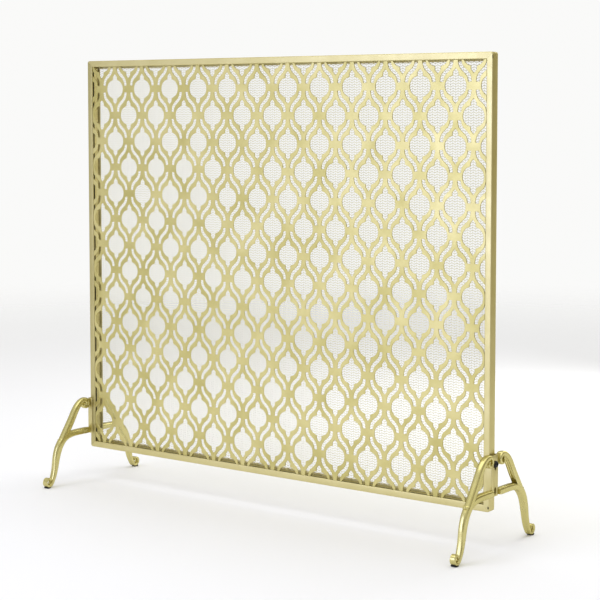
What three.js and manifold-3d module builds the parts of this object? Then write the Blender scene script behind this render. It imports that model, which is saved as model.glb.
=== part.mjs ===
// Free-standing fireplace screen: a welded tube frame holding a pierced lattice sheet in front
// and woven wire mesh behind, carried by two pairs of scrolled bar legs bolted to its sides.
// Millimetres, +X along the width, front faces -Y, +Z up, origin on the floor below the centre.

import * as THREE from 'three';
import Module from 'manifold-3d';
import { mergeVertices } from 'three/addons/utils/BufferGeometryUtils.js';

// Overall sizes
const WIDTH = 1003.3;
const DEPTH = 285.75;
const HEIGHT = 889;
const GAP = 0.3;

// Panel frame: rectangular tube, mitred at the corners
const PANEL_HALF_WIDTH = 490;
const PANEL_BOTTOM = 69;
const PANEL_MID = (HEIGHT + PANEL_BOTTOM) / 2;
const PANEL_HALF_HEIGHT = (HEIGHT - PANEL_BOTTOM) / 2;
const TUBE_FACE = 12.7;
const TUBE_DEPTH = 19;
const TUBE_EDGE = 1.5;

// Lattice sheet and its lantern-shaped holes
const SHEET_FRONT = -8.6;
const SHEET_THICK = 1.5;
const PITCH_X = 75.2;
const PITCH_Z = 107.9;
const LANTERN_TIP = 32.2;
const LANTERN_NECK = [6.1, 22.6];
const LANTERN_CHEEK = [17.8, 13.1];
const LANTERN_SIDE = 22.5;

// Wire mesh on the frame's back, held down by flat strips
const MESH_THICK = 0.8;
const MESH_INSET = 8;
const STRIP_WIDTH = 8;
const STRIP_THICK = 1.2;

// Leg brackets: folded channels round the outer edge of each stile
const BRACKET_INNER = 484;
const BRACKET_OUTER = 497;
const BRACKET_BOTTOM = 98;
const BRACKET_TOP = 173;
const BRACKET_PLATE = 1.2;
const BRACKET_HALF_DEPTH = TUBE_DEPTH / 2 + GAP + BRACKET_PLATE;
const SLOT_WIDTH = 7;
const UPPER_SLOT = [146, 159.5];
const LOWER_SLOT = [101, 114];

// Bolts through the brackets into the stiles
const BOLT_Z = 156;
const HEAD_RADIUS = 6.2;
const HEAD_HEIGHT = 3.8;
const SHANK_RADIUS = 3;
const SHANK_LENGTH = 13.5;
const BORE_RADIUS = 3.4;

// Legs: rounded bar bent in a plane, 13 wide
const BAR_HALF_WIDTH = 6.5;
const LEG_X = WIDTH / 2 - BAR_HALF_WIDTH;
const LEG_START = BRACKET_HALF_DEPTH + GAP;
const CURL_RADIUS = 10.3;
const FOOT_CURL = [DEPTH / 2 - CURL_RADIUS, 12.1];
const TOP_CURL = [LEG_START + 10.4, 162.4];

// Foot pads
const PAD_RADIUS = 12.9;
const PAD_INNER = 10.6;
const PAD_HALF_WIDTH = 5.6;

const wasm = await Module();
wasm.setup();

const group = new THREE.Group();

function add(name, geometry, color) {
  const material = new THREE.MeshStandardMaterial({ color, metalness: 0.4, roughness: 0.45 });
  const mesh = new THREE.Mesh(geometry, material);
  mesh.name = name;
  group.add(mesh);
}

function fromArrays(positions, index) {
  const geometry = new THREE.BufferGeometry();
  geometry.setAttribute('position', new THREE.BufferAttribute(new Float32Array(positions), 3));
  geometry.setIndex(index);
  return geometry;
}

function toSolid(geometry) {
  const bare = geometry.clone();
  bare.deleteAttribute('normal');
  bare.deleteAttribute('uv');
  const welded = mergeVertices(bare, 1e-4);
  return new wasm.Manifold(new wasm.Mesh({
    numProp: 3,
    vertProperties: new Float32Array(welded.attributes.position.array),
    triVerts: new Uint32Array(welded.index.array),
  }));
}

function toGeometry(solid) {
  const mesh = solid.getMesh();
  return fromArrays(mesh.vertProperties, Array.from(mesh.triVerts));
}

// The same shape on the other side of the screen
function mirrored(geometry, signX, signY) {
  const copy = geometry.clone();
  copy.deleteAttribute('normal');
  copy.deleteAttribute('uv');
  const points = copy.attributes.position;
  for (let i = 0; i < points.count; i += 1) {
    points.setX(i, points.getX(i) * signX);
    points.setY(i, points.getY(i) * signY);
  }
  const corners = copy.index ? Array.from(copy.index.array) : [...Array(points.count).keys()];
  if (signX * signY < 0) {
    for (let i = 0; i < corners.length; i += 3) {
      [corners[i], corners[i + 1]] = [corners[i + 1], corners[i]];
    }
  }
  copy.setIndex(corners);
  return copy;
}

function box(low, high) {
  const geometry = new THREE.BoxGeometry(high[0] - low[0], high[1] - low[1], high[2] - low[2]);
  geometry.translate((low[0] + high[0]) / 2, (low[1] + high[1]) / 2, (low[2] + high[2]) / 2);
  return geometry;
}

// Closed skin over a row of rings with the same number of corners
function loft(rings) {
  const count = rings[0].length;
  const index = [];
  for (let r = 0; r + 1 < rings.length; r += 1) {
    for (let c = 0; c < count; c += 1) {
      const a = r * count + c;
      const b = r * count + (c + 1) % count;
      index.push(a, b, b + count, a, b + count, a + count);
    }
  }
  const last = (rings.length - 1) * count;
  for (let c = 1; c + 1 < count; c += 1) {
    index.push(0, c + 1, c);
    index.push(last, last + c, last + c + 1);
  }
  return fromArrays(rings.flat(2), index);
}

// ---- Frame -------------------------------------------------------------------------------

// Tube section: u from the frame's outer edge inwards, v through its depth
function tubeSection() {
  const corners = [];
  const halfDepth = TUBE_DEPTH / 2 - TUBE_EDGE;
  const centres = [
    [TUBE_FACE - TUBE_EDGE, halfDepth, 0],
    [TUBE_EDGE, halfDepth, 90],
    [TUBE_EDGE, -halfDepth, 180],
    [TUBE_FACE - TUBE_EDGE, -halfDepth, 270],
  ];
  for (const [u, v, start] of centres) {
    for (const step of [0, 45, 90]) {
      const angle = THREE.MathUtils.degToRad(start + step);
      corners.push([u + TUBE_EDGE * Math.cos(angle), v + TUBE_EDGE * Math.sin(angle)]);
    }
  }
  return corners;
}

// One rail lying along +X at the top of a frame with the given half sizes, mitred both ends
function rail(halfLength, edge) {
  const section = tubeSection();
  const end = (side) => section.map(([u, v]) => [side * (halfLength - u - GAP / 2), v, edge - u]);
  return loft([end(-1), end(1)]);
}

function stile(sign) {
  const tube = rail(PANEL_HALF_HEIGHT, PANEL_HALF_WIDTH);
  tube.rotateY(Math.PI / 2);
  tube.translate(0, 0, PANEL_MID);
  const bore = new THREE.CylinderGeometry(BORE_RADIUS, BORE_RADIUS, 20, 12);
  bore.rotateZ(Math.PI / 2);
  bore.translate(PANEL_HALF_WIDTH + 1, 0, BOLT_Z);
  const solid = toSolid(tube).subtract(toSolid(bore));
  return mirrored(toGeometry(solid), sign, 1);
}

const topRail = rail(PANEL_HALF_WIDTH, HEIGHT);
const bottomRail = rail(PANEL_HALF_WIDTH, PANEL_HALF_HEIGHT);
bottomRail.rotateY(Math.PI);
bottomRail.translate(0, 0, PANEL_MID);

add('frame_top_rail', topRail, 0xd8c878);
add('frame_bottom_rail', bottomRail, 0xd8c878);
add('frame_left_stile', stile(-1), 0xd0be6c);
add('frame_right_stile', stile(1), 0xd0be6c);

// ---- Lattice sheet -----------------------------------------------------------------------

function lantern(x, z) {
  const quarter = [LANTERN_NECK, LANTERN_CHEEK];
  const outline = [[0, LANTERN_TIP]];
  for (const [u, v] of quarter) outline.push([-u, v]);
  outline.push([-LANTERN_SIDE, 0]);
  for (const [u, v] of [...quarter].reverse()) outline.push([-u, -v]);
  outline.push([0, -LANTERN_TIP]);
  for (const [u, v] of quarter) outline.push([u, -v]);
  outline.push([LANTERN_SIDE, 0]);
  for (const [u, v] of [...quarter].reverse()) outline.push([u, v]);
  const shape = new THREE.Shape(outline.map(([u, v]) => new THREE.Vector2(x + u, z + v)));
  const hole = new THREE.ExtrudeGeometry(shape, { depth: SHEET_THICK + 4, bevelEnabled: false });
  hole.rotateX(Math.PI / 2);
  hole.translate(0, SHEET_FRONT + SHEET_THICK + 2, 0);
  return hole;
}

function latticeSheet() {
  const halfX = PANEL_HALF_WIDTH - TUBE_FACE - GAP;
  const halfZ = PANEL_HALF_HEIGHT - TUBE_FACE - GAP;
  let sheet = toSolid(box(
    [-halfX, SHEET_FRONT, PANEL_MID - halfZ],
    [halfX, SHEET_FRONT + SHEET_THICK, PANEL_MID + halfZ],
  ));
  // Rows stand a quarter pitch off the middle; the topmost whole row has no lantern at x = 0
  for (let row = -15; row <= 15; row += 2) {
    const odd = (13 - row) % 4 === 0;
    const z = PANEL_MID + row * PITCH_Z / 4;
    for (let k = -13; k <= 13; k += 1) {
      if ((k % 2 !== 0) === odd) {
        sheet = sheet.subtract(toSolid(lantern(k * PITCH_X / 2, z)));
      }
    }
  }
  return toGeometry(sheet);
}

add('lattice_panel', latticeSheet(), 0xd8c878);

// ---- Wire mesh and its strips ------------------------------------------------------------

const meshFront = TUBE_DEPTH / 2 + GAP;
const meshBack = meshFront + MESH_THICK;
const meshHalfX = PANEL_HALF_WIDTH - MESH_INSET;
const meshHalfZ = PANEL_HALF_HEIGHT - MESH_INSET;
const stripFront = meshBack + GAP;
const stripBack = stripFront + STRIP_THICK;

add('mesh_screen', box(
  [-meshHalfX, meshFront, PANEL_MID - meshHalfZ],
  [meshHalfX, meshBack, PANEL_MID + meshHalfZ],
), 0xb8b8ac);

for (const [name, sign] of [['top', 1], ['bottom', -1]]) {
  const outer = PANEL_MID + sign * meshHalfZ;
  const inner = outer - sign * STRIP_WIDTH;
  add(`mesh_strip_${name}`, box(
    [-meshHalfX, stripFront, Math.min(outer, inner)],
    [meshHalfX, stripBack, Math.max(outer, inner)],
  ), 0xd0be6c);
}
for (const [name, sign] of [['left', -1], ['right', 1]]) {
  const outer = sign * meshHalfX;
  const inner = outer - sign * STRIP_WIDTH;
  const halfZ = meshHalfZ - STRIP_WIDTH - GAP;
  add(`mesh_strip_${name}`, box(
    [Math.min(outer, inner), stripFront, PANEL_MID - halfZ],
    [Math.max(outer, inner), stripBack, PANEL_MID + halfZ],
  ), 0xd0be6c);
}

// ---- Leg brackets ------------------------------------------------------------------------

function bracket() {
  const bend = 2.5;
  const shape = new THREE.Shape();
  const inside = BRACKET_HALF_DEPTH - BRACKET_PLATE;
  shape.moveTo(BRACKET_INNER, -BRACKET_HALF_DEPTH);
  shape.lineTo(BRACKET_OUTER - bend, -BRACKET_HALF_DEPTH);
  shape.absarc(BRACKET_OUTER - bend, -BRACKET_HALF_DEPTH + bend, bend, -Math.PI / 2, 0);
  shape.lineTo(BRACKET_OUTER, BRACKET_HALF_DEPTH - bend);
  shape.absarc(BRACKET_OUTER - bend, BRACKET_HALF_DEPTH - bend, bend, 0, Math.PI / 2);
  shape.lineTo(BRACKET_INNER, BRACKET_HALF_DEPTH);
  shape.lineTo(BRACKET_INNER, inside);
  shape.lineTo(BRACKET_OUTER - bend, inside);
  shape.lineTo(BRACKET_OUTER - BRACKET_PLATE, inside - 1.3);
  shape.lineTo(BRACKET_OUTER - BRACKET_PLATE, -inside + 1.3);
  shape.lineTo(BRACKET_OUTER - bend, -inside);
  shape.lineTo(BRACKET_INNER, -inside);
  const depth = BRACKET_TOP - BRACKET_BOTTOM;
  const channel = new THREE.ExtrudeGeometry(shape, { depth, bevelEnabled: false, curveSegments: 3 });
  channel.translate(0, 0, BRACKET_BOTTOM);
  let solid = toSolid(channel);
  for (const [low, high] of [UPPER_SLOT, LOWER_SLOT]) {
    solid = solid.subtract(toSolid(slot(low, high)));
  }
  return toGeometry(solid);
}

// Round-ended slot through the bracket's outer web
function slot(low, high) {
  const radius = SLOT_WIDTH / 2;
  const shape = new THREE.Shape();
  shape.absarc(0, high - radius, radius, 0, Math.PI);
  shape.absarc(0, low + radius, radius, Math.PI, 2 * Math.PI);
  const cut = new THREE.ExtrudeGeometry(shape, { depth: 6, bevelEnabled: false, curveSegments: 6 });
  cut.rotateX(Math.PI / 2);
  cut.rotateZ(Math.PI / 2);
  cut.translate(BRACKET_OUTER - 3, 0, 0);
  return cut;
}

const bracketShape = bracket();
add('left_bracket', mirrored(bracketShape, -1, 1), 0xc8b664);
add('right_bracket', mirrored(bracketShape, 1, 1), 0xc8b664);

// ---- Bolts and spacers -------------------------------------------------------------------

function bolt() {
  const profile = [
    [0, -SHANK_LENGTH],
    [SHANK_RADIUS, -SHANK_LENGTH],
    [SHANK_RADIUS, 0],
    [HEAD_RADIUS, 0],
    [HEAD_RADIUS, HEAD_HEIGHT * 0.45],
    [HEAD_RADIUS * 0.72, HEAD_HEIGHT * 0.88],
    [0, HEAD_HEIGHT],
  ];
  const turned = new THREE.LatheGeometry(profile.map(([r, h]) => new THREE.Vector2(r, h)), 14);
  turned.rotateZ(-Math.PI / 2);
  turned.translate(BRACKET_OUTER + GAP, 0, BOLT_Z);
  return toGeometry(toSolid(turned));
}

// Sleeve on the bolt between the stile and the bracket's web
function spacer() {
  const inner = PANEL_HALF_WIDTH + GAP;
  const outer = BRACKET_OUTER - BRACKET_PLATE - GAP;
  const profile = [
    [BORE_RADIUS, 0],
    [5.6, 0],
    [5.6, outer - inner],
    [BORE_RADIUS, outer - inner],
    [BORE_RADIUS, 0],
  ];
  const turned = new THREE.LatheGeometry(profile.map(([r, h]) => new THREE.Vector2(r, h)), 12);
  turned.rotateZ(-Math.PI / 2);
  turned.translate(inner, 0, BOLT_Z);
  return toGeometry(toSolid(turned));
}

const boltShape = bolt();
const spacerShape = spacer();
add('left_bolt', mirrored(boltShape, -1, 1), 0x101010);
add('right_bolt', mirrored(boltShape, 1, 1), 0x101010);
add('left_bolt_spacer', mirrored(spacerShape, -1, 1), 0x303030);
add('right_bolt_spacer', mirrored(spacerShape, 1, 1), 0x303030);

// ---- Legs --------------------------------------------------------------------------------

// Rounded bar section: across the width, through the thickness
const BAR_SECTION = [
  [1, 0], [0.82, 0.66], [0.34, 1], [-0.34, 1], [-0.82, 0.66],
  [-1, 0], [-0.82, -0.66], [-0.34, -1], [0.34, -1], [0.82, -0.66],
];

// Bar through stations of [distance from the panel's mid-plane, height, half thickness]
function bar(stations, grow) {
  const rings = stations.map(([s, z, half], i) => {
    const before = stations[Math.max(i - 1, 0)];
    const after = stations[Math.min(i + 1, stations.length - 1)];
    const along = new THREE.Vector2(after[0] - before[0], after[1] - before[1]).normalize();
    return BAR_SECTION.map(([u, v]) => [
      LEG_X + u * (BAR_HALF_WIDTH + grow),
      s + along.y * v * (half + grow),
      z - along.x * v * (half + grow),
    ]);
  });
  return loft(rings);
}

function curl(centre, turns) {
  return turns.map(([angle, radius, half]) => {
    const a = THREE.MathUtils.degToRad(angle);
    return [centre[0] + radius * Math.cos(a), centre[1] + radius * Math.sin(a), half];
  });
}

// From the bracket outwards, down over the knee and round the foot curl
const LOWER_PATH = [
  [LEG_START, 105, 6.2], [42, 105.3, 6.1], [62, 104.6, 6.1], [76, 102.2, 6.4], [87, 97.4, 6.8],
  [95.2, 90.2, 7.1], [101.6, 81.2, 7.2], [106.4, 70.6, 7], [109.8, 58.8, 6.4], [112.2, 46, 5.5],
  [114.9, 33.4, 4.7], [118.8, 21.6, 4.1],
  ...curl(FOOT_CURL, [
    [208, 7.9, 3.5], [240, 7.5, 3.1], [270, 7.4, 2.9], [302, 7.4, 2.9], [335, 7.4, 2.9], [0, 7.4, 2.9],
    [25, 7.4, 2.9], [55, 7.3, 2.8], [88, 6.9, 2.5], [120, 5.4, 2.1], [150, 3.5, 1.7],
  ]),
];

// From inside the top scroll, round it, over the arch and down the diagonal onto the knee
const UPPER_PATH = [
  ...curl(TOP_CURL, [
    [410, 3.2, 1.6], [376, 4.9, 1.9], [344, 6.5, 2.2], [316, 7.3, 2.4], [288, 7.6, 2.5],
    [260, 7.7, 2.6], [232, 7.75, 2.65], [206, 7.75, 2.65], [180, 7.75, 2.65], [150, 8.1, 2.8],
    [120, 8.8, 3.1], [90, 9.6, 3.6],
  ]),
  [29.5, 171, 4.4], [38, 166.8, 5.2], [46, 159.8, 5.8], [53.8, 149.9, 6.3], [64.6, 132.8, 6.6],
  [78.9, 112.3, 6.8], [90, 96.6, 6.6], [94.6, 90.6, 6],
];

const lowerShape = bar(LOWER_PATH, 0);
const lowerGrown = toSolid(bar(LOWER_PATH, GAP));
const upperShape = toGeometry(toSolid(bar(UPPER_PATH, 0)).subtract(lowerGrown));

function pad() {
  const shape = new THREE.Shape();
  const [s, z] = FOOT_CURL;
  const start = THREE.MathUtils.degToRad(-100);
  const end = THREE.MathUtils.degToRad(-60);
  const heel = Math.asin(-z / PAD_RADIUS);
  shape.moveTo(s + PAD_INNER * Math.cos(end), z + PAD_INNER * Math.sin(end));
  shape.absarc(s, z, PAD_INNER, end, start, true);
  shape.lineTo(s + PAD_RADIUS * Math.cos(start), 0);
  shape.lineTo(s + PAD_RADIUS * Math.cos(heel), 0);
  shape.absarc(s, z, PAD_RADIUS, heel, end);
  const solid = new THREE.ExtrudeGeometry(shape, {
    depth: 2 * PAD_HALF_WIDTH,
    bevelEnabled: false,
    curveSegments: 6,
  });
  solid.rotateX(Math.PI / 2);
  solid.rotateZ(Math.PI / 2);
  solid.translate(LEG_X - PAD_HALF_WIDTH, 0, 0);
  return solid;
}

const padShape = pad();
for (const [side, signX] of [['left', -1], ['right', 1]]) {
  for (const [face, signY] of [['front', -1], ['back', 1]]) {
    add(`${side}_${face}_leg`, mirrored(lowerShape, signX, signY), 0xd0be6c);
    add(`${side}_${face}_scroll_bar`, mirrored(upperShape, signX, signY), 0xd0be6c);
    add(`${side}_${face}_foot_pad`, mirrored(padShape, signX, signY), 0x161616);
  }
}

export default group;
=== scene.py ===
import math
import random

import bmesh
import bpy
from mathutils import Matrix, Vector
from mathutils.geometry import delaunay_2d_cdt


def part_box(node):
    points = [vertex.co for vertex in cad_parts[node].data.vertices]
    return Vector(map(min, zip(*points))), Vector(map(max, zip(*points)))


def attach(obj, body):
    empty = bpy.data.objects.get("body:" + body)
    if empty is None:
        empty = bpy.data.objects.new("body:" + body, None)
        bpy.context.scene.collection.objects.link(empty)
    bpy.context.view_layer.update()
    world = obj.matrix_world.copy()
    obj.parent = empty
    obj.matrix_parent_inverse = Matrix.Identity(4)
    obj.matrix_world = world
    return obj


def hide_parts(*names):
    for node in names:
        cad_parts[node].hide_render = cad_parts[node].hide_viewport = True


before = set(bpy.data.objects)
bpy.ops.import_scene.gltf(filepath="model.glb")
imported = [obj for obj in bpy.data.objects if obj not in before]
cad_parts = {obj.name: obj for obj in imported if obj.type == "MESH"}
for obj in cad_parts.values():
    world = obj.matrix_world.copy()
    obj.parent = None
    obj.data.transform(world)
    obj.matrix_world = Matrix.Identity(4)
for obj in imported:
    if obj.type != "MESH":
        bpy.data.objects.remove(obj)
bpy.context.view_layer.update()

# ---------------------------------------------------------------------------------------------
# Sizes in millimetres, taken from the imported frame
# ---------------------------------------------------------------------------------------------

MM = 0.001


def box_mm(node):
    low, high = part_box(node)
    return [v / MM for v in low], [v / MM for v in high]


_, top_high = box_mm("frame_top_rail")
bottom_low, _ = box_mm("frame_bottom_rail")
right_low, right_high = box_mm("frame_right_stile")
PANEL_X = right_high[0]
PANEL_TOP = top_high[2]
PANEL_BOTTOM = bottom_low[2]
PANEL_MID = (PANEL_TOP + PANEL_BOTTOM) / 2
PANEL_Z = (PANEL_TOP - PANEL_BOTTOM) / 2
TUBE_FACE = right_high[0] - right_low[0]
TUBE_HALF_DEPTH = right_high[1]

lattice_low, lattice_high = box_mm("lattice_panel")
mesh_low, mesh_high = box_mm("mesh_screen")
bracket_low, bracket_high = box_mm("right_bracket")
leg_low, leg_high = box_mm("right_back_leg")
bolt_low, bolt_high = box_mm("right_bolt")
spacer_low, spacer_high = box_mm("right_bolt_spacer")
pad_low, pad_high = box_mm("right_back_foot_pad")

LEG_X = (leg_low[0] + leg_high[0]) / 2
BAR_HALF = (leg_high[0] - leg_low[0]) / 2
LEG_START = leg_low[1]
CURL_R = 10.3
FOOT_CURL = (leg_high[1] - CURL_R, 12.1)
TOP_CURL = (LEG_START + 10.4, 162.4)

SIDES = (("left", -1), ("right", 1))
FACES = (("front", -1), ("back", 1))

# ---------------------------------------------------------------------------------------------
# Materials. Noise stays mostly between the two values of NOISE_ENDS
# ---------------------------------------------------------------------------------------------

NOISE_ENDS = (0.35, 0.65)


def node_material(name):
    material = bpy.data.materials.new(name)
    material.use_nodes = True
    tree = material.node_tree
    return material, tree, tree.nodes["Principled BSDF"]


def add_node(tree, kind, **inputs):
    node = tree.nodes.new(kind)
    for key, value in inputs.items():
        node.inputs[key.replace("_", " ")].default_value = value
    return node


def noise(tree, scale, detail):
    """Noise on object coordinates."""
    coords = tree.nodes.new("ShaderNodeTexCoord")
    texture = add_node(tree, "ShaderNodeTexNoise", Scale=scale, Detail=detail)
    tree.links.new(coords.outputs["Object"], texture.inputs["Vector"])
    return texture.outputs["Fac"]


def ramp(tree, source, deep, pale, ends=NOISE_ENDS):
    """Colour that goes from deep to pale while the source goes from end to end."""
    node = tree.nodes.new("ShaderNodeValToRGB")
    for element, place, colour in zip(node.color_ramp.elements, ends, (deep, pale)):
        element.position = place
        element.color = (*colour, 1.0)
    tree.links.new(source, node.inputs["Fac"])
    return node.outputs["Color"]


def span(tree, source, low, high):
    """Maps noise to the range low to high."""
    node = add_node(tree, "ShaderNodeMapRange", From_Min=NOISE_ENDS[0], From_Max=NOISE_ENDS[1],
                    To_Min=low, To_Max=high)
    tree.links.new(source, node.inputs["Value"])
    return node.outputs["Result"]


def bump(tree, shader, layers):
    """Chains bump layers of (height source, strength, distance in metres) onto the shader."""
    previous = None
    for source, strength, distance in layers:
        node = add_node(tree, "ShaderNodeBump", Strength=strength, Distance=distance)
        tree.links.new(source, node.inputs["Height"])
        if previous:
            tree.links.new(previous, node.inputs["Normal"])
        previous = node.outputs["Normal"]
    tree.links.new(previous, shader.inputs["Normal"])


def gold_paint(name, deep, pale, rough=(0.27, 0.33), metallic=0.95, peel_height=0.03):
    """Sprayed metallic gold: cloudy tone, faint orange peel and metal flake."""
    material, tree, shader = node_material(name)
    tone = noise(tree, 14.0, 9.0)
    tree.links.new(ramp(tree, tone, deep, pale, (0.36, 0.64)), shader.inputs["Base Color"])
    tree.links.new(span(tree, noise(tree, 45.0, 3.0), *rough), shader.inputs["Roughness"])
    shader.inputs["Metallic"].default_value = metallic
    shader.inputs["Specular Tint"].default_value = (0.62, 0.58, 0.42, 1.0)
    shader.inputs["Coat Weight"].default_value = 0.2
    shader.inputs["Coat Roughness"].default_value = 0.18
    peel = noise(tree, 300.0, 2.0)
    flake = noise(tree, 2600.0, 1.0)
    bump(tree, shader, [(peel, peel_height, 0.0003), (flake, 0.05, 0.00005)])
    return material


def grainy(name, scale, detail, deep, pale, rough):
    """A material whose tone and roughness both follow one grain."""
    material, tree, shader = node_material(name)
    grain = noise(tree, scale, detail)
    tree.links.new(ramp(tree, grain, deep, pale), shader.inputs["Base Color"])
    tree.links.new(span(tree, grain, *rough), shader.inputs["Roughness"])
    return material, tree, shader, grain


def wire_steel():
    material, tree, shader, _ = grainy(
        "wire", 300.0, 2.0, (0.61, 0.585, 0.34), (0.71, 0.685, 0.43), (0.4, 0.55))
    shader.inputs["Metallic"].default_value = 0.35
    bump(tree, shader, [(noise(tree, 1500.0, 1.0), 0.1, 0.0001)])
    return material


def black_paint():
    material, tree, shader, grain = grainy(
        "black_paint", 500.0, 3.0, (0.004, 0.004, 0.004), (0.010, 0.010, 0.010), (0.3, 0.4))
    shader.inputs["Specular IOR Level"].default_value = 0.3
    bump(tree, shader, [(grain, 0.15, 0.0002)])
    return material


def black_rubber():
    material, tree, shader, grain = grainy(
        "black_rubber", 900.0, 4.0, (0.005, 0.005, 0.005), (0.014, 0.014, 0.014), (0.65, 0.85))
    shader.inputs["Specular IOR Level"].default_value = 0.3
    bump(tree, shader, [(grain, 0.3, 0.0003)])
    return material


def painted_shade_steel():
    """Painted shade: near-black colour for steel in corners and channels where shade falls."""
    material, _, shader, _ = grainy(
        "painted_shade_steel", 400.0, 3.0, (0.004, 0.003, 0.002), (0.012, 0.009, 0.005), (0.8, 0.95))
    shader.inputs["Specular IOR Level"].default_value = 0.1
    return material


TUBE_ROUGH = (0.37, 0.43)
GOLD = gold_paint("gold_tube", (0.63, 0.555, 0.25), (0.67, 0.595, 0.285), rough=TUBE_ROUGH)
# A darker copy of the tube gold: painted shade for the left stile
GOLD_SHADED_COPY = gold_paint("gold_painted_shade", (0.50, 0.44, 0.19), (0.54, 0.475, 0.215), rough=TUBE_ROUGH)
# A paler, less metallic copy of the gold: painted light, so the strips in shade behind the sheet look
# lit
STRIP_LIT_GOLD = gold_paint("gold_strip_painted_light", (0.67, 0.59, 0.29), (0.73, 0.65, 0.34), rough=(0.5, 0.6),
                   metallic=0.2)
SHEET = gold_paint("gold_sheet", (0.535, 0.47, 0.165), (0.66, 0.585, 0.25), rough=(0.38, 0.45))
BAR = gold_paint("gold_bar", (0.60, 0.535, 0.21), (0.65, 0.585, 0.25), rough=(0.23, 0.28),
                 peel_height=0.012)
WIRE = wire_steel()
BLACK = black_paint()
RUBBER = black_rubber()
# Painted shade: faces given this stand for the shade in corners, channels, a slot and nicks
PAINTED_SHADE = painted_shade_steel()

# ---------------------------------------------------------------------------------------------
# Mesh helpers (points in millimetres)
# ---------------------------------------------------------------------------------------------

SHARP_ANGLE = math.radians(40)

# Points nearer than this many metres are joined
JOIN_DISTANCE = 1e-7

# The middle point of a small rounded corner stands in by this share of the corner's size
ROUND_MIDDLE = 0.3

# An outline that grows by 1 moves its sharpest corners by no more than 1 / MITRE_LIMIT
MITRE_LIMIT = 0.6


def add_object(name, data):
    thing = bpy.data.objects.new(name, data)
    bpy.context.scene.collection.objects.link(thing)
    return thing


def mesh_of(name, points, faces):
    mesh = bpy.data.meshes.new(name)
    mesh.from_pydata([(x * MM, y * MM, z * MM) for x, y, z in points], [], faces)
    return mesh


def clean(mesh, weld=True):
    """Turns all faces outwards, after joining points that coincide if weld is set."""
    bm = bmesh.new()
    bm.from_mesh(mesh)
    if weld:
        bmesh.ops.remove_doubles(bm, verts=bm.verts, dist=JOIN_DISTANCE)
        bmesh.ops.dissolve_degenerate(bm, edges=bm.edges, dist=JOIN_DISTANCE)
    bmesh.ops.recalc_face_normals(bm, faces=bm.faces)
    bm.to_mesh(mesh)
    bm.free()


def make_piece(name, points, faces, materials, slot, nodes, face_slots=(), weld=True):
    mesh = mesh_of(name, points, faces)
    for material in materials:
        mesh.materials.append(material)
    for polygon, index in zip(mesh.polygons, face_slots):
        polygon.material_index = index
    if weld:
        clean(mesh)
    for polygon in mesh.polygons:
        polygon.use_smooth = True
    piece = add_object(name, mesh)
    mesh.set_sharp_from_angle(angle=SHARP_ANGLE)
    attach(piece, "root")
    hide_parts(*nodes)
    return piece


def loft(rings):
    """Points and faces of a closed skin over rings with equal numbers of corners."""
    count = len(rings[0])
    points = [p for ring in rings for p in ring]
    faces = []
    for r in range(len(rings) - 1):
        for c in range(count):
            d = (c + 1) % count
            faces.append((r * count + c, r * count + d, (r + 1) * count + d, (r + 1) * count + c))
    faces.append(tuple(reversed(range(count))))
    faces.append(tuple(range((len(rings) - 1) * count, len(rings) * count)))
    return points, faces


def smooth_path(points, per_span):
    """Uniform Catmull-Rom curve through the points, in any dimension."""
    path = [Vector(p) for p in points]
    path = [path[0] * 2 - path[1]] + path + [path[-1] * 2 - path[-2]]
    out = []
    for i in range(1, len(path) - 2):
        p0, p1, p2, p3 = path[i - 1:i + 3]
        for k in range(per_span):
            t = k / per_span
            out.append(0.5 * (2 * p1 + (p2 - p0) * t + (2 * p0 - 5 * p1 + 4 * p2 - p3) * t * t
                              + (3 * p1 - p0 - 3 * p2 + p3) * t ** 3))
    out.append(path[-2])
    return out


def round_rectangle(u_low, u_high, v_half, radius, steps):
    """Outline of a rectangle with rounded corners, its steps counted per corner."""
    v_mid = v_half - radius
    outline = []
    for u, v, start in (
        (u_high - radius, v_mid, 0),
        (u_low + radius, v_mid, 90),
        (u_low + radius, -v_mid, 180),
        (u_high - radius, -v_mid, 270),
    ):
        for k in range(steps + 1):
            angle = math.radians(start + 90 * k / steps)
            outline.append((u + radius * math.cos(angle), v + radius * math.sin(angle)))
    return outline


def grid_ellipsoid(centre, radii, rows=6, columns=10):
    """Points and faces of a small ellipsoid: a weld bead, or a spot of painted shade at a nick or
    behind a slot.
    """
    points, faces = [], []
    for r in range(rows + 1):
        polar = math.pi * r / rows
        for c in range(columns):
            turn = 2 * math.pi * c / columns
            points.append((
                centre[0] + radii[0] * math.sin(polar) * math.cos(turn),
                centre[1] + radii[1] * math.sin(polar) * math.sin(turn),
                centre[2] + radii[2] * math.cos(polar),
            ))
    for r in range(rows):
        for c in range(columns):
            d = (c + 1) % columns
            faces.append((r * columns + c, (r + 1) * columns + c,
                          (r + 1) * columns + d, r * columns + d))
    return points, faces


def merge(parts):
    points, faces = [], []
    for more_points, more_faces in parts:
        base = len(points)
        points += more_points
        faces += [tuple(base + i for i in face) for face in more_faces]
    return points, faces


# ---------------------------------------------------------------------------------------------
# Camera
# ---------------------------------------------------------------------------------------------

CAMERA_AZIMUTH = math.radians(36.762)
CAMERA_PITCH = math.radians(4.111)

camera_data = bpy.data.cameras.new("camera")
camera_data.sensor_width = 36.0
camera_data.lens = 99.16
camera_data.shift_y = -0.12
camera_data.clip_start = 0.05
camera_data.clip_end = 200.0
camera = add_object("camera", camera_data)
camera.location = (1.9602, -2.5418, 0.7881)
camera.rotation_euler = (math.pi / 2 - CAMERA_PITCH, 0.0, CAMERA_AZIMUTH)
bpy.context.scene.camera = camera

# ---------------------------------------------------------------------------------------------
# Frame: mitred tube with rounded panel corners
# ---------------------------------------------------------------------------------------------

TUBE_EDGE = 1.5
TUBE_EDGE_STEPS = 6
CORNER_R = 4.5
CORNER_STEPS = 5
MITRE_GAP = 0.15
RAIL_SPANS = 12

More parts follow.
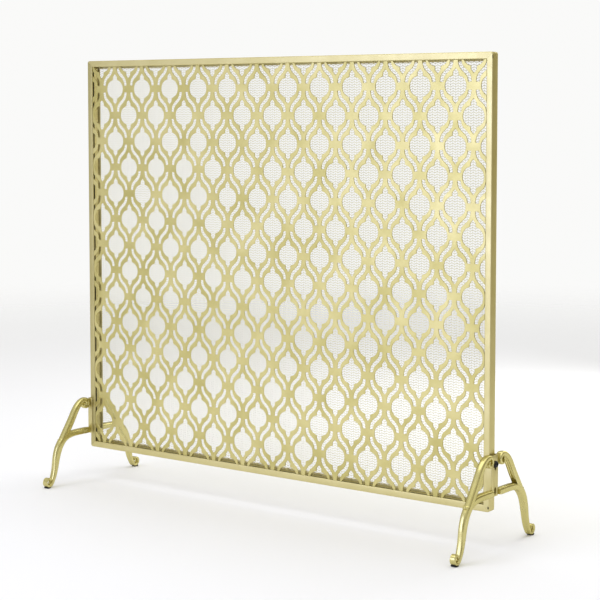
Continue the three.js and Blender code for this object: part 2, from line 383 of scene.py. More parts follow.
# Painted shade: a dark line on the inner wall in the corner just behind the sheet, between these depths
JOINT_SHADOW = (lattice_high[1] + 0.2, lattice_high[1] + 3.8)

# Painted shade on each stile behind the bracket's open lower slot: height and radii
SLOT_SHADE_Z = 107.5
SLOT_SHADE = (0.15, 5.5, 9.5)

# Dark spots of painted shade at shallow nicks in the right stile's corners, as (centre, radii)
NICK_SHADE_Y = 0.4 - TUBE_HALF_DEPTH
TOP_NICK_SHADE = ((PANEL_X - 0.35, NICK_SHADE_Y, PANEL_TOP - 9.0), (0.75, 0.8, 3.6))
BOTTOM_NICK_SHADE = ((PANEL_X - 2.2, NICK_SHADE_Y, PANEL_BOTTOM + 8.0), (1.6, 0.8, 3.1))


def tube_section():
    """Corners of the tube's section: u inwards from the frame's outer edge, v through its depth.

    The last two corners lie on the inner wall, at the ends of the painted shadow line behind the sheet.
    """
    section = round_rectangle(0, TUBE_FACE, TUBE_HALF_DEPTH, TUBE_EDGE, TUBE_EDGE_STEPS)
    return section + [(TUBE_FACE, depth) for depth in JOINT_SHADOW]


def rail_rings(half_length):
    """Rings of a rail along X whose outer edge is at height 0, mitred and rounded at both ends."""
    section = tube_section()
    centre = half_length - CORNER_R

    def end(side):
        rings = []
        for k in range(CORNER_STEPS + 1):
            turn = math.radians(45 * k / CORNER_STEPS)
            ring = []
            for u, v in section:
                reach = CORNER_R - u
                if reach > 0:
                    x = centre + reach * math.sin(turn)
                    z = reach * math.cos(turn) - CORNER_R
                else:
                    x = half_length - u
                    z = -u
                ring.append((side * (x - MITRE_GAP), v, z))
            rings.append(ring)
        return rings

    right = end(1)
    left = end(-1)
    middle = []
    for k in range(1, RAIL_SPANS):
        x = -centre + 2 * centre * k / RAIL_SPANS
        middle.append([(min(max(x, -abs(p[0])), abs(p[0])), p[1], p[2]) for p in right[0]])
    return list(reversed(left)) + middle + right


def place_rail(name, half_length, place, patches=(), paint=GOLD):
    """place moves a point of the level rail to its own; patches are (centre, radii) of spots of painted
    shade.
    """
    rings = [[place(*p) for p in ring] for ring in rail_rings(half_length)]
    shapes = [loft(rings)]
    corners = len(rings[0])
    shadow_line_corner = corners - len(JOINT_SHADOW)
    # Faces from that corner get painted shade: the dark line just behind the sheet
    skin_marks = [1 if c == shadow_line_corner else 0 for _ in rings[1:] for c in range(corners)]
    end_marks = [0, 0]
    marks = skin_marks + end_marks
    for centre, radii in patches:
        shapes.append(grid_ellipsoid(centre, radii))
        marks += [1] * len(shapes[-1][1])
    points, faces = merge(shapes)
    make_piece(name, points, faces, [paint, PAINTED_SHADE], "gold", [name], face_slots=marks)


place_rail("frame_top_rail", PANEL_X, lambda x, y, z: (x, y, PANEL_TOP + z))
place_rail("frame_bottom_rail", PANEL_X, lambda x, y, z: (x, y, PANEL_BOTTOM - z))
# The left stile gets the darker copy of the gold as painted shade
place_rail(
    "frame_left_stile", PANEL_Z, lambda x, y, z: (-PANEL_X - z, y, PANEL_MID + x),
    patches=(((-PANEL_X, 0.0, SLOT_SHADE_Z), SLOT_SHADE),), paint=GOLD_SHADED_COPY,
)
place_rail(
    "frame_right_stile", PANEL_Z, lambda x, y, z: (PANEL_X + z, y, PANEL_MID + x),
    patches=(((PANEL_X, 0.0, SLOT_SHADE_Z), SLOT_SHADE), TOP_NICK_SHADE, BOTTOM_NICK_SHADE),
)

# ---------------------------------------------------------------------------------------------
# Lattice sheet: lantern holes and S-shaped slots cut through one sheet, edges rolled over
# ---------------------------------------------------------------------------------------------

PITCH_X = 75.2
PITCH_Z = 107.9
EDGE_ROLL = 0.4
# Depths below the front face, with the share of the roll that the edge has moved out by there
ROLL_LAYERS = ((EDGE_ROLL * 0.35, 0.75), (EDGE_ROLL, 1.0))
SHEET_BOW = 0.9
CUT_TOLERANCE = 1e-5

LANTERN_TIP = 32.2
NECK_X = 6.0
NECK_SPAN = (25.0, 19.9)
CHEEK_X = 3.5
CHEEK_R = 18.9

# The slots follow a tanh curve: its sway to either side, and the height over which it turns
SLOT_WIDTH = 7.3
SLOT_REACH = 19.8
SLOT_SWAY = 10.9
SLOT_TURN = 9.2
SLOT_STEPS = 12
SLOT_CORNER = 1.1
SLOT_OFFSET = 18.8

# Rows are counted in quarter pitches from the middle. The topmost whole row has no lantern at x = 0
TOP_ROW = 13
ROW_REACH = 17
COLUMN_REACH = 14


def lantern_outline():
    """Pointed tip, straight neck and round cheek, mirrored both ways."""
    quarter = [(0.0, LANTERN_TIP)] + [(NECK_X, y) for y in NECK_SPAN]
    for degrees in range(78, 0, -9):
        angle = math.radians(degrees)
        quarter.append((CHEEK_X + CHEEK_R * math.cos(angle), CHEEK_R * math.sin(angle)))
    right = quarter + [(x, -y) for x, y in reversed(quarter)]
    left = [(-x, y) for x, y in reversed(right) if x > 0]
    return right + left


def slot_outline(mirror):
    """Outline of the slot about its own centre: square ends with small round corners."""
    half = SLOT_WIDTH / 2
    left, right = [], []
    for k in range(SLOT_STEPS + 1):
        y = -SLOT_REACH + 2 * SLOT_REACH * k / SLOT_STEPS
        x = -SLOT_SWAY * math.tanh(y / SLOT_TURN)
        slope = -SLOT_SWAY / SLOT_TURN / math.cosh(y / SLOT_TURN) ** 2
        along = Vector((slope, 1.0)).normalized()
        left.append((x - along.y * half, y + along.x * half))
        right.append((x + along.y * half, y - along.x * half))
    middle = ROUND_MIDDLE * SLOT_CORNER
    outline = []
    for side, way in ((left, 1), (right, -1)):
        points = side[::way]
        x0, x1 = points[0][0], points[-1][0]
        y0 = -way * SLOT_REACH
        y1 = way * SLOT_REACH
        outline.append((x0 + way * SLOT_CORNER, y0))
        outline.append((x0 + way * middle, y0 + way * middle))
        outline.append((x0, y0 + way * SLOT_CORNER))
        outline += points[1:-1]
        outline.append((x1, y1 - way * SLOT_CORNER))
        outline.append((x1 + way * middle, y1 - way * middle))
        outline.append((x1 + way * SLOT_CORNER, y1))
    if mirror:
        outline = [(-x, y) for x, y in outline]
    return outline


def grown(outline, distance):
    """The outline moved outwards from the hole by distance, corner by corner, anticlockwise."""
    count = len(outline)
    area = sum(outline[i - 1][0] * outline[i][1] - outline[i][0] * outline[i - 1][1]
               for i in range(count))
    if area < 0:
        outline = outline[::-1]
    out = []
    for i, point in enumerate(outline):
        before = Vector(point) - Vector(outline[i - 1])
        after = Vector(outline[(i + 1) % count]) - Vector(point)
        n1 = Vector((before.y, -before.x)).normalized()
        n2 = Vector((after.y, -after.x)).normalized()
        n = (n1 + n2).normalized()
        out.append(tuple(Vector(point) + n * distance / max(n.dot(n1), MITRE_LIMIT)))
    return out


def lattice_holes():
    lantern = grown(lantern_outline(), EDGE_ROLL)
    slots = [(side, grown(slot_outline(side > 0), EDGE_ROLL)) for side in (-1, 1)]
    holes = []
    for row in range(-ROW_REACH, ROW_REACH + 1, 2):
        odd = (TOP_ROW - row) % 4 == 0
        z = PANEL_MID + row * PITCH_Z / 4
        for k in range(-COLUMN_REACH, COLUMN_REACH + 1):
            if (k % 2 != 0) != odd:
                continue
            x = k * PITCH_X / 2
            holes.append([(x + a, z + b) for a, b in lantern])
            for side, outline in slots:
                slot_x = x + side * SLOT_OFFSET
                slot_z = z - PITCH_Z / 4
                holes.append([(slot_x + a, slot_z + b) for a, b in outline])
    return holes


def bow(spot):
    """The sheet isn't quite flat: millimetres of depth added at a place on it."""
    across = math.cos(math.pi * spot.x / (2 * PANEL_X))
    up = (spot.y - PANEL_MID) / PANEL_Z
    return across * (1 - up * up) * SHEET_BOW


def cut_sheet(x0, x1, z0, z1):
    """Flat cells that fill the rectangle around its holes, and the spots that they join."""
    polygons = [[(x0, z0), (x1, z0), (x1, z1), (x0, z1)]]
    for hole in lattice_holes():
        xs = [p[0] for p in hole]
        zs = [p[1] for p in hole]
        if max(xs) > x0 and min(xs) < x1 and max(zs) > z0 and min(zs) < z1:
            polygons.append(hole)
    flat, faces = [], []
    for polygon in polygons:
        base = len(flat)
        flat += [Vector(p) for p in polygon]
        faces.append(list(range(base, base + len(polygon))))
    spots, _, cells, _, _, owners = delaunay_2d_cdt(flat, [], faces, 0, CUT_TOLERANCE)
    return spots, [cell for cell, owner in zip(cells, owners) if list(owner) == [0]]


def rim_edges(cells):
    """Edges that only one cell has, in that cell's direction."""
    edges = {}
    for cell in cells:
        for i in range(len(cell)):
            edges[(cell[i - 1], cell[i])] = True
    return [(a, b) for a, b in edges if (b, a) not in edges]


def outward_ways(spots, rim):
    """For each spot on the rim, the direction and distance that move both its edges out by 1."""
    normals = {}
    for a, b in rim:
        d = spots[b] - spots[a]
        n = Vector((d.y, -d.x)).normalized()
        for end in (a, b):
            normals.setdefault(end, []).append(n)
    ways = {}
    for v, around in normals.items():
        n = sum(around, Vector((0.0, 0.0))).normalized()
        ways[v] = n / max(n.dot(around[0]), MITRE_LIMIT)
    return ways


def build_lattice():
    x0, x1 = lattice_low[0], lattice_high[0]
    z0, z1 = lattice_low[2], lattice_high[2]
    front = lattice_low[1]
    thick = lattice_high[1] - front
    spots, sheet = cut_sheet(x0, x1, z0, z1)
    rim = rim_edges(sheet)
    ways = outward_ways(spots, rim)

    used = sorted({i for cell in sheet for i in cell})
    points = [(spots[v].x, front + bow(spots[v]), spots[v].y) for v in used]
    layers = [{v: i for i, v in enumerate(used)}]
    for depth, out in (*ROLL_LAYERS, (thick, 1.0)):
        layer = {}
        for v in used:
            if v not in ways and depth < thick:
                continue
            spot = Vector(spots[v])
            if v in ways:
                spot = spot + ways[v] * (EDGE_ROLL * out)
                spot.x = min(max(spot.x, x0), x1)
                spot.y = min(max(spot.y, z0), z1)
            layer[v] = len(points)
            points.append((spot.x, front + depth + bow(spots[v]), spot.y))
        layers.append(layer)

    first, last = layers[0], layers[-1]
    faces = [tuple(first[i] for i in cell) for cell in sheet]
    faces += [tuple(last[i] for i in reversed(cell)) for cell in sheet]
    for upper, lower in zip(layers, layers[1:]):
        for a, b in rim:
            faces.append((upper[b], upper[a], lower[a], lower[b]))
    piece = make_piece(
        "lattice_panel", points, faces, [SHEET], "gold", ["lattice_panel"], weld=False)
    for polygon in piece.data.polygons[:2 * len(sheet)]:
        polygon.use_smooth = False


build_lattice()

# ---------------------------------------------------------------------------------------------
# Woven wire mesh: thin uprights, and zigzag cross wires passing in front and behind in turn
# ---------------------------------------------------------------------------------------------

WIRE_PITCH = 5.4
ROW_PITCH = 4.7
UPRIGHT_R = 0.18
WIRE_R = 0.5
# A cross wire has a three-cornered section: how far back its flat side is, as a share of WIRE_R
WIRE_FLAT = 0.6
WIRE_SWING = 0.5
WIRE_DROP = 1.35

MESH_Y = (mesh_low[1] + mesh_high[1]) / 2
WIRE_COLUMNS = int((mesh_high[0] - mesh_low[0]) / WIRE_PITCH)
FIRST_WIRE_X = -(WIRE_COLUMNS - 1) / 2 * WIRE_PITCH


def straight_wires():
    parts = []
    for i in range(WIRE_COLUMNS):
        x = FIRST_WIRE_X + i * WIRE_PITCH
        rings = []
        for z in (mesh_low[2], mesh_high[2]):
            rings.append([(x + UPRIGHT_R * math.cos(math.pi / 2 * c),
                           MESH_Y + UPRIGHT_R * math.sin(math.pi / 2 * c), z) for c in range(4)])
        parts.append(loft(rings))
    return merge(parts)


def wavy_wires(phase):
    """Every second cross wire: it zigzags up and down as well as in front and behind."""
    count = int((mesh_high[2] - mesh_low[2] - 2 * WIRE_DROP) / ROW_PITCH)
    bottom = (mesh_low[2] + mesh_high[2]) / 2 - (count - 1) / 2 * ROW_PITCH
    parts = []
    for row in range(phase, count, 2):
        rings = []
        for i in range(-1, WIRE_COLUMNS + 1):
            x = min(max(FIRST_WIRE_X + i * WIRE_PITCH, mesh_low[0]), mesh_high[0])
            y = MESH_Y + WIRE_SWING * (1 if (i + row) % 2 == 0 else -1)
            z = bottom + row * ROW_PITCH + WIRE_DROP * (1 if i % 2 == 0 else -1)
            rings.append([
                (x, y - WIRE_R, z),
                (x, y + WIRE_R * WIRE_FLAT, z - WIRE_R),
                (x, y + WIRE_R * WIRE_FLAT, z + WIRE_R),
            ])
        parts.append(loft(rings))
    return merge(parts)


make_piece("mesh_uprights", *straight_wires(), [WIRE], "wire", ["mesh_screen"], weld=False)
make_piece("mesh_cross_wires_a", *wavy_wires(0), [WIRE], "wire", ["mesh_screen"], weld=False)
make_piece("mesh_cross_wires_b", *wavy_wires(1), [WIRE], "wire", ["mesh_screen"], weld=False)

# ---------------------------------------------------------------------------------------------
# Strips that hold the mesh: thin flats with rounded edges and a row of low weld beads
# ---------------------------------------------------------------------------------------------

STRIP_ROLL = 0.35
STRIP_ROLL_STEPS = 2
STRIP_SPANS = 10
STRIP_END = 0.4
STRIP_END_SHRINK = 0.94
STRIP_BEAD_PITCH = 130
STRIP_BEAD = (2.4, 0.45, 2.4)


def strip(name):
    low, high = box_mm(name)
    centre_x, centre_y, centre_z = [(a + b) / 2 for a, b in zip(low, high)]
    along_x = high[0] - low[0] > high[2] - low[2]
    width, length = sorted((high[0] - low[0], high[2] - low[2]))
    thick = high[1] - low[1]

    def at(t, u, v):
        """A place at t along the strip, u across it and v through it."""
        if along_x:
            return centre_x + t, centre_y + v, centre_z + u
        return centre_x + u, centre_y + v, centre_z + t

    section = round_rectangle(-width / 2, width / 2, thick / 2, STRIP_ROLL, STRIP_ROLL_STEPS)
    stations = [-length / 2, -length / 2 + STRIP_END]
    stations += [length * (k / STRIP_SPANS - 0.5) for k in range(1, STRIP_SPANS)]
    stations += [length / 2 - STRIP_END, length / 2]
    rings = []
    for t in stations:
        shrink = STRIP_END_SHRINK if abs(t) == length / 2 else 1.0
        rings.append([at(t, u * shrink, v * shrink) for u, v in section])
    parts = [loft(rings)]
    count = round(length / STRIP_BEAD_PITCH)
    for k in range(count):
        spot = at(length * ((k + 0.5) / count - 0.5), 0.0, thick / 2)
        parts.append(grid_ellipsoid(spot, STRIP_BEAD, columns=14))
    # The strips take the paler copy of the gold, as painted light
    make_piece(name, *merge(parts), [STRIP_LIT_GOLD], "gold", [name])


for strip_name in ("mesh_strip_top", "mesh_strip_bottom", "mesh_strip_left", "mesh_strip_right"):
    strip(strip_name)

# ---------------------------------------------------------------------------------------------
# Brackets: folded channel with two slots in the outer web and a small hole in the front flange
# ---------------------------------------------------------------------------------------------

BEND_R = 2.5
PLATE = 1.2
UPPER_SLOT = (146.0, 159.5)
LOWER_SLOT = (101.0, 114.0)
SLOT_HALF = 3.5
HOLE_R = 1.3
HOLE_INSET = 8.5
HOLE_DROP = 4.0
CUTTER_REACH = 3
ARC_STEP = 15  # degrees
HOLE_STEP = 30
SOFT_EDGE = 0.3
SOFT_ANGLE = math.radians(50)


def arc(centre, radius, start, sweep_angle, step=ARC_STEP):
    """Points round the centre. Angles are in degrees."""
    points = []
    for degrees in range(start, start + sweep_angle + 1, step):
        a = math.radians(degrees)
        points.append((centre[0] + radius * math.cos(a), centre[1] + radius * math.sin(a)))
    return points


def bracket_fold(offset):
    """The channel's line at a distance inside its outer skin."""
    edge = bracket_low[0]
    depth = bracket_high[1] - offset
    outer = bracket_high[0] - offset
    r = max(BEND_R - offset, 0.3)
    front_bend = arc((outer - r, r - depth), r, -90, 90)
    back_bend = arc((outer - r, depth - r), r, 0, 90)
    return [(edge, -depth)] + front_bend + back_bend + [(edge, depth)]


def bracket_cuts():
    """Solids through the two slots and the small hole, for the right bracket."""
    outer = bracket_high[0]
    depth = bracket_high[1]
    parts = []
    for low, high in (UPPER_SLOT, LOWER_SLOT):
        outline = (arc((0.0, high - SLOT_HALF), SLOT_HALF, 0, 180)
                   + arc((0.0, low + SLOT_HALF), SLOT_HALF, 180, 180))
        parts.append(loft([[(x, y, z) for y, z in outline]
                           for x in (outer - CUTTER_REACH, outer + CUTTER_REACH)]))
    hole = (bracket_low[0] + HOLE_INSET, bracket_high[2] - HOLE_DROP)
    outline = arc(hole, HOLE_R, 0, 360 - HOLE_STEP, HOLE_STEP)
    parts.append(loft([[(x, -y, z) for x, z in outline]
                       for y in (depth - CUTTER_REACH, depth + CUTTER_REACH)]))
    return merge(parts)


def apply_modifiers(piece):
    graph = bpy.context.evaluated_depsgraph_get()
    graph.update()
    mesh = bpy.data.meshes.new_from_object(piece.evaluated_get(graph))
    piece.modifiers.clear()
    piece.data = mesh
    for polygon in mesh.polygons:
        polygon.use_smooth = True
    mesh.set_sharp_from_angle(angle=SHARP_ANGLE)


def bracket(side, sign):
    section = bracket_fold(0.0) + list(reversed(bracket_fold(PLATE)))
    points, faces = loft([[(x * sign, y, z) for x, y in section]
                          for z in (bracket_low[2], bracket_high[2])])
    piece = make_piece(f"{side}_bracket", points, faces, [GOLD], "gold", [f"{side}_bracket"])
    cut_points, cut_faces = bracket_cuts()
    cutter_mesh = mesh_of("cutter", [(x * sign, y, z) for x, y, z in cut_points], cut_faces)
    clean(cutter_mesh, weld=False)
    cutter = add_object("cutter", cutter_mesh)
    cut = piece.modifiers.new("cut", "BOOLEAN")
    cut.operation = "DIFFERENCE"
    cut.solver = "EXACT"
    cut.object = cutter
    soften = piece.modifiers.new("soften", "BEVEL")
    soften.width = SOFT_EDGE * MM
    soften.segments = 2
    soften.limit_method = "ANGLE"
    soften.angle_limit = SOFT_ANGLE
    apply_modifiers(piece)
    bpy.data.objects.remove(cutter, do_unlink=True)


for side_name, side_sign in SIDES:
    bracket(side_name, side_sign)

# ---------------------------------------------------------------------------------------------
# Bolts and spacers. Profiles are (distance along X, radius)
# ---------------------------------------------------------------------------------------------

BOLT_Z = (bolt_low[2] + bolt_high[2]) / 2
TURN_SIDES = 36
SHANK_R = 3.0
SHANK_TIP = 0.6
HEAD_HEIGHT = 3.8
HEAD_SEAT = bolt_high[0] - HEAD_HEIGHT
HEAD_EDGE = 0.3
DOME_RISE = 3.45
DOME_MIDDLE_R = 2.9
DOME_R = 3.3
# The socket in the head, as (distance past the seat, radius)
SOCKET = ((3.6, 2.5), (1.6, 2.3), (1.5, 0.0))
SLEEVE_R = (3.5, 5.6)
SLEEVE_EDGE = 0.3


def turned(name, profile, sign):
    """A black body of revolution about X at the bolt's height."""
    points = []
    for k in range(TURN_SIDES):
        a = 2 * math.pi * k / TURN_SIDES
        points += [(x * sign, r * math.cos(a), BOLT_Z + r * math.sin(a)) for x, r in profile]
    count = len(profile)
    faces = []
    for k in range(TURN_SIDES):
        n = (k + 1) % TURN_SIDES
        for c in range(count - 1):
            faces.append((k * count + c, k * count + c + 1, n * count + c + 1, n * count + c))
    make_piece(name, points, faces, [BLACK], "black", [name])


def bolt_profile():
    """Shank, domed head and the socket in it."""
    tip = bolt_low[0]
    profile = [(tip, 0.0), (tip, SHANK_R - SHANK_TIP), (tip + SHANK_TIP, SHANK_R), (HEAD_SEAT, SHANK_R)]
    profile.append((HEAD_SEAT, DOME_MIDDLE_R + DOME_R - HEAD_EDGE))
    for degrees in range(0, 91, 18):
        a = math.radians(degrees)
        profile.append((HEAD_SEAT + HEAD_EDGE + DOME_RISE * math.sin(a),
                        DOME_MIDDLE_R + DOME_R * math.cos(a)))
    return profile + [(HEAD_SEAT + x, r) for x, r in SOCKET]


def sleeve_profile():
    start, end = spacer_low[0], spacer_high[0]
    bore, skin = SLEEVE_R
    return [(start, bore), (start, skin - SLEEVE_EDGE), (start + SLEEVE_EDGE, skin),
            (end - SLEEVE_EDGE, skin), (end, skin - SLEEVE_EDGE), (end, bore), (start, bore)]


for side_name, side_sign in SIDES:
    turned(f"{side_name}_bolt", bolt_profile(), side_sign)
    turned(f"{side_name}_bolt_spacer", sleeve_profile(), side_sign)

# ---------------------------------------------------------------------------------------------
# Legs: formed bars. Stations are (distance from the panel's mid-plane, height, half thickness)
# ---------------------------------------------------------------------------------------------


def curl(centre, turns):
    """Stations round a centre, from (degrees, radius, half thickness)."""
    out = []
    for degrees, radius, half in turns:
        a = math.radians(degrees)
        out.append((centre[0] + radius * math.cos(a), centre[1] + radius * math.sin(a), half))
    return out


LOWER_PATH = [
    (LEG_START, 105, 6.2), (42, 105.3, 6.1), (62, 104.6, 6.1), (76, 102.2, 6.4), (87, 97.4, 6.8),
    (95.2, 90.2, 7.1), (101.6, 81.2, 7.2), (106.4, 70.6, 7), (109.8, 58.8, 6.4), (112.2, 46, 5.5),
    (114.9, 33.4, 4.7), (118.8, 21.6, 4.1),
] + curl(FOOT_CURL, [
    (208, 7.9, 3.5), (240, 7.5, 3.1), (270, 7.4, 2.9), (302, 7.4, 2.9), (335, 7.4, 2.9),
    (360, 7.4, 2.9), (385, 7.4, 2.9), (415, 7.3, 2.8), (448, 6.9, 2.5), (480, 5.4, 2.1),
    (510, 3.5, 1.7),
])
UPPER_PATH = curl(TOP_CURL, [
    (410, 3.2, 1.6), (376, 4.9, 1.9), (344, 6.5, 2.2), (316, 7.3, 2.4), (288, 7.6, 2.5),
    (260, 7.7, 2.6), (232, 7.75, 2.65), (206, 7.75, 2.65), (180, 7.75, 2.65), (150, 8.1, 2.8),
    (120, 8.8, 3.1), (90, 9.6, 3.6),
]) + [
    (29.5, 171, 4.4), (38, 166.8, 5.2), (46, 159.8, 5.8), (53.8, 149.9, 6.3), (64.6, 132.8, 6.6),
    (78.9, 112.3, 6.8), (90, 96.6, 6.6), (94.6, 90.6, 6),
]
LOWER_SPANS = 5
UPPER_SPANS = 6

# Section of the bars, as shares of the half width and half thickness: a rounded box outside,
# two lips, and between them the inner side, which is slightly crowned or hollowed to a groove
BOX_POWER = 2.9
ROUND_STEPS = 16
LIP = ((0.99, -0.55), (0.95, -0.85), (0.90, -0.97), (0.86, -1.0), (0.80, -0.97))
LIP_INSIDE = LIP[-1][0]
FLOOR_STEPS = 8
FLOOR_REACH = 0.97 * LIP_INSIDE
FLOOR_LEVEL = -0.93
GROOVE_DEPTH = 1.35
CROWN = 0.07
GROOVE_FACES = range(ROUND_STEPS + len(LIP), ROUND_STEPS + len(LIP) + FLOOR_STEPS + 2)

# The groove's end on the diagonal, painted dark as shade, in rings
PAINTED_SHADE_RINGS = 8

# Ends are drawn in a little: shares of the thickness at the last ring and the one before it
END_SQUEEZE = {0: 0.86, 1: 0.97}

# Fractions of the way along between which the section changes
CURLED_SPAN = (0.50, 0.60)
CURLED_NARROW = 0.13
CURLED_ROUND = 0.8
GROOVE_SPAN = (0.56, 0.68)
GROOVE_OPEN = 0.4


def bar_section(power, groove):
    """Section across the bar (u) and through it (v). groove hollows the inner side."""
    section = []
    for k in range(ROUND_STEPS + 1):
        a = math.pi * k / ROUND_STEPS
        c, s = math.cos(a), math.sin(a)
        section.append((math.copysign(abs(c) ** (2 / power), c), abs(s) ** (2 / power)))
    section += [(-u, v) for u, v in LIP]
    for k in range(FLOOR_STEPS + 1):
        u = FLOOR_REACH * (2 * k / FLOOR_STEPS - 1)
        arch = math.sqrt(1 - (u / LIP_INSIDE) ** 2)
        section.append((u, FLOOR_LEVEL + groove * GROOVE_DEPTH * arch - (1 - groove) * CROWN * arch))
    return section + list(reversed(LIP))


def sweep(path, per_span, section_at):
    """Rings of a bar in the plane across X, its section chosen by the fraction of the way along."""
    stations = smooth_path(path, per_span)
    rings = []
    last = len(stations) - 1
    for i, at in enumerate(stations):
        before = stations[max(i - 1, 0)]
        after = stations[min(i + 1, last)]
        along = Vector((after[0] - before[0], after[1] - before[1])).normalized()
        squeeze = END_SQUEEZE.get(min(i, last - i), 1.0)
        half = at[2] * squeeze
        half_width = BAR_HALF * (1 + squeeze) / 2
        rings.append([(LEG_X + u * half_width, at[0] - along.y * v * half, at[1] + along.x * v * half)
                      for u, v in section_at(i / last)])
    return rings


def share(t, limits):
    """0 before the first limit, 1 after the second, and even between them."""
    start, end = limits
    return min(max((t - start) / (end - start), 0.0), 1.0)


def lower_section(t):
    """Boxy down to the ankle, round and a little narrower where the end is curled."""
    curled = share(t, CURLED_SPAN)
    narrow = 1 - CURLED_NARROW * curled
    return [(u * narrow, v) for u, v in bar_section(BOX_POWER - CURLED_ROUND * curled, 0.0)]


def upper_section(t):
    """The hollow opens after the arch and runs down the diagonal."""
    opened = share(t, GROOVE_SPAN)
    smooth = opened * opened * (3 - 2 * opened)
    return bar_section(BOX_POWER, smooth * GROOVE_OPEN)


def put(rings, sign_x, sign_y):
    return [[(x * sign_x, s * sign_y, z) for x, s, z in ring] for ring in rings]


lower_shape = sweep(LOWER_PATH, LOWER_SPANS, lower_section)
upper_shape = sweep(UPPER_PATH, UPPER_SPANS, upper_section)

# Weld beads on the knee. The right front leg's are the largest
BEAD_SPACING = 3.6
BEAD_JITTER = 0.3
BEAD_SIZE = (2.1, 2.5)
BEAD_SHAPE = (0.9, 1.0, 1.15)
BEAD_Z = 96.4
BEAD_Z_JITTER = 0.8
BEAD_LIFT = 2.4
# The knee's surface, and how fast it falls back away from the bar's middle
KNEE_Y = 98.2
KNEE_CURVE = 0.03
BIG_BEADS = 1.2
SMALL_BEADS = 0.6

random.seed(7)


def weld_beads(sign_x, sign_y, scale):
    """Three beads across the outside of the knee, where the diagonal is welded on."""
    parts = []
    for k in (-1, 0, 1):
        u = BEAD_SPACING * k + random.uniform(-BEAD_JITTER, BEAD_JITTER)
        size = random.uniform(*BEAD_SIZE) * scale
        y = KNEE_Y + BEAD_LIFT * scale - KNEE_CURVE * u * u
        z = BEAD_Z + random.uniform(-BEAD_Z_JITTER, BEAD_Z_JITTER)
        radii = [size * part for part in BEAD_SHAPE]
        parts.append(grid_ellipsoid((LEG_X + u, y, z), radii, rows=8, columns=14))
    points, faces = merge(parts)
    return [(x * sign_x, s * sign_y, z) for x, s, z in points], faces


def upper_marks():
    """1 for the faces of the groove's end with painted shade, 0 for the other faces of an upper bar."""
    spans = len(upper_shape) - 1
    marks = []
    for r in range(spans):
        for c in range(len(upper_shape[0])):
            marks.append(1 if c in GROOVE_FACES and r >= spans - PAINTED_SHADE_RINGS else 0)
    end_marks = [0, 0]
    return marks + end_marks


def leg(stem, sign_x, sign_y):
    lower = loft(put(lower_shape, sign_x, sign_y))
    make_piece(f"{stem}_leg", *lower, [BAR], "gold", [f"{stem}_leg"])
    upper = loft(put(upper_shape, sign_x, sign_y))
    beads = weld_beads(sign_x, sign_y, BIG_BEADS if stem == "right_front" else SMALL_BEADS)
    marks = upper_marks() + [0] * len(beads[1])
    make_piece(f"{stem}_scroll_bar", *merge([upper, beads]), [BAR, PAINTED_SHADE], "gold",
               [f"{stem}_scroll_bar"], face_slots=marks)


for side_name, side_sign in SIDES:
    for face_name, face_sign in FACES:
        leg(f"{side_name}_{face_name}", side_sign, face_sign)

# ---------------------------------------------------------------------------------------------
# Foot pads: rubber saddles bent round the curls, flat where they stand
# ---------------------------------------------------------------------------------------------

PAD_HALF = (pad_high[0] - pad_low[0]) / 2
PAD_INNER_R = 10.4
PAD_OUTER_R = 12.9
PAD_FROM = -101
PAD_SWEEP = 42
PAD_STEPS = 14
PAD_END_TAPER = 0.8
PAD_CORNER = 0.6


def pad_section(thick):
    """Section across the pad (u) and heights above its outer face. Corners at the curl are cut."""
    side = [
        (PAD_HALF - PAD_CORNER, 0.0),
        (PAD_HALF - PAD_CORNER * ROUND_MIDDLE, PAD_CORNER * ROUND_MIDDLE),
        (PAD_HALF, PAD_CORNER),
        (PAD_HALF, thick - PAD_CORNER * 0.5),
        (PAD_HALF - PAD_CORNER * 0.5, thick),
    ]
    return side + [(-u, h) for u, h in reversed(side)]


def pad_rings():
    s0, z0 = FOOT_CURL
    rings = []
    for k in range(PAD_STEPS + 1):
        angle = math.radians(PAD_FROM + PAD_SWEEP * k / PAD_STEPS)
        out_s, out_z = math.cos(angle), math.sin(angle)
        taper = 1.0 if 0 < k < PAD_STEPS else PAD_END_TAPER
        reach = min(PAD_OUTER_R, z0 / -out_z)
        thick = (reach - PAD_INNER_R) * taper
        ring = []
        for u, h in pad_section(thick):
            r = PAD_INNER_R + thick - h
            ring.append((LEG_X + u, s0 + out_s * r, z0 + out_z * r))
        rings.append(ring)
    return rings


for side_name, side_sign in SIDES:
    for face_name, face_sign in FACES:
        stem = f"{side_name}_{face_name}"
        pad = loft(put(pad_rings(), side_sign, face_sign))
        make_piece(f"{stem}_foot_pad", *pad, [RUBBER], "pad", [f"{stem}_foot_pad"])

# ---------------------------------------------------------------------------------------------
# Floor: a paper sweep that fades into the backdrop, so that no edge or horizon shows
# ---------------------------------------------------------------------------------------------

FLOOR_HALF = 6
FADE_FROM = 1.7
FADE_TO = 4.5


def fade_node(tree, source, low, high):
    """0 below low, 1 above high, and smooth between them."""
    node = add_node(tree, "ShaderNodeMapRange", From_Min=low, From_Max=high)
    node.interpolation_type = "SMOOTHSTEP"
    tree.links.new(source, node.inputs["Value"])
    return node.outputs["Result"]


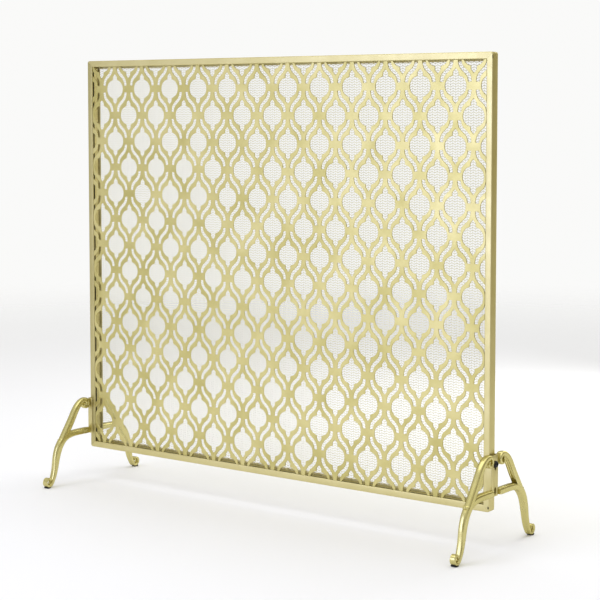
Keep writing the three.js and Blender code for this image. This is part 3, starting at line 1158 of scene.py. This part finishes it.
def floor_paper():
    material, tree, shader = node_material("floor")
    tone = ramp(tree, noise(tree, 0.8, 2.0), (0.875, 0.875, 0.88), (0.89, 0.89, 0.895), (0.3, 0.7))
    tree.links.new(tone, shader.inputs["Base Color"])
    shader.inputs["Roughness"].default_value = 0.9
    shader.inputs["Specular IOR Level"].default_value = 0.1
    place = tree.nodes.new("ShaderNodeTexCoord")
    reach = tree.nodes.new("ShaderNodeVectorMath")
    reach.operation = "LENGTH"
    tree.links.new(place.outputs["Object"], reach.inputs[0])
    clear = tree.nodes.new("ShaderNodeBsdfTransparent")
    mix = tree.nodes.new("ShaderNodeMixShader")
    tree.links.new(fade_node(tree, reach.outputs["Value"], FADE_FROM, FADE_TO), mix.inputs["Fac"])
    tree.links.new(shader.outputs["BSDF"], mix.inputs[1])
    tree.links.new(clear.outputs["BSDF"], mix.inputs[2])
    tree.links.new(mix.outputs["Shader"], tree.nodes["Material Output"].inputs["Surface"])
    return material


floor_mesh = bpy.data.meshes.new("floor")
floor_corners = [(x * FLOOR_HALF, y * FLOOR_HALF, 0) for x, y in ((-1, -1), (1, -1), (1, 1), (-1, 1))]
floor_mesh.from_pydata(floor_corners, [], [(0, 1, 2, 3)])
floor_mesh.materials.append(floor_paper())
floor = add_object("floor", floor_mesh)

# ---------------------------------------------------------------------------------------------
# Studio: plain backdrop to the eye; the surfaces also mirror the room's darker sides
# ---------------------------------------------------------------------------------------------

BACKDROP = (0.955, 0.955, 0.945)
ROOM = (0.66, 0.655, 0.64)
CEILING = (1.0, 1.0, 0.99)
CEILING_FADE = (0.55, 0.95)
# Dark sides as (direction, cosine where they start, cosine where they are full, colour)
ROOM_DARK = (
    ((0.62, -0.78, 0.0), 0.84, 0.97, (0.30, 0.28, 0.22)),
    ((0.66, 0.75, -0.05), 0.60, 0.92, (0.38, 0.345, 0.24)),
)

world = bpy.data.worlds.new("studio")
bpy.context.scene.world = world
world.use_nodes = True
world_tree = world.node_tree
background = world_tree.nodes["Background"]
background.inputs["Strength"].default_value = 1.0
world_way = world_tree.nodes.new("ShaderNodeTexCoord").outputs["Generated"]


def world_lobe(direction, low, high):
    """0 away from the direction and 1 near it."""
    dot = world_tree.nodes.new("ShaderNodeVectorMath")
    dot.operation = "DOT_PRODUCT"
    world_tree.links.new(world_way, dot.inputs[0])
    dot.inputs[1].default_value = Vector(direction).normalized()
    return fade_node(world_tree, dot.outputs["Value"], low, high)


def world_mix(factor, under, colour):
    mix = world_tree.nodes.new("ShaderNodeMixRGB")
    world_tree.links.new(factor, mix.inputs["Fac"])
    if isinstance(under, tuple):
        mix.inputs["Color1"].default_value = (*under, 1.0)
    else:
        world_tree.links.new(under, mix.inputs["Color1"])
    mix.inputs["Color2"].default_value = (*colour, 1.0)
    return mix.outputs["Color"]


room = world_mix(world_lobe((0, 0, 1), *CEILING_FADE), ROOM, CEILING)
for way, low, high, colour in ROOM_DARK:
    room = world_mix(world_lobe(way, low, high), room, colour)
seen_directly = world_tree.nodes.new("ShaderNodeLightPath").outputs["Is Camera Ray"]
world_tree.links.new(world_mix(seen_directly, room, BACKDROP), background.inputs["Color"])

# ---------------------------------------------------------------------------------------------
# Lights, in metres and watts
# ---------------------------------------------------------------------------------------------


def area_light(name, place, target, size, power, colour=(1.0, 1.0, 1.0)):
    data = bpy.data.lights.new(name, "AREA")
    data.shape = "RECTANGLE"
    data.size, data.size_y = size
    data.energy = power
    data.color = colour
    light = add_object(name, data)
    light.location = place
    light.rotation_euler = (Vector(target) - Vector(place)).to_track_quat("-Z", "Y").to_euler()
    light.visible_camera = False


area_light("key", (-1.0, -3.2, 1.15), (0.1, 0.0, 0.6), (1.9, 2.3), 25.5, (0.94, 1.01, 1.62))
area_light("top", (0.0, -0.3, 3.4), (0.0, 0.0, 0.0), (3.4, 3.4), 40.0)
area_light("back", (0.3, 1.6, 0.9), (-0.48, 0.0, 0.5), (1.0, 1.5), 10.0)

bpy.context.scene.view_settings.view_transform = "Standard"
bpy.context.scene.view_settings.look = "None"
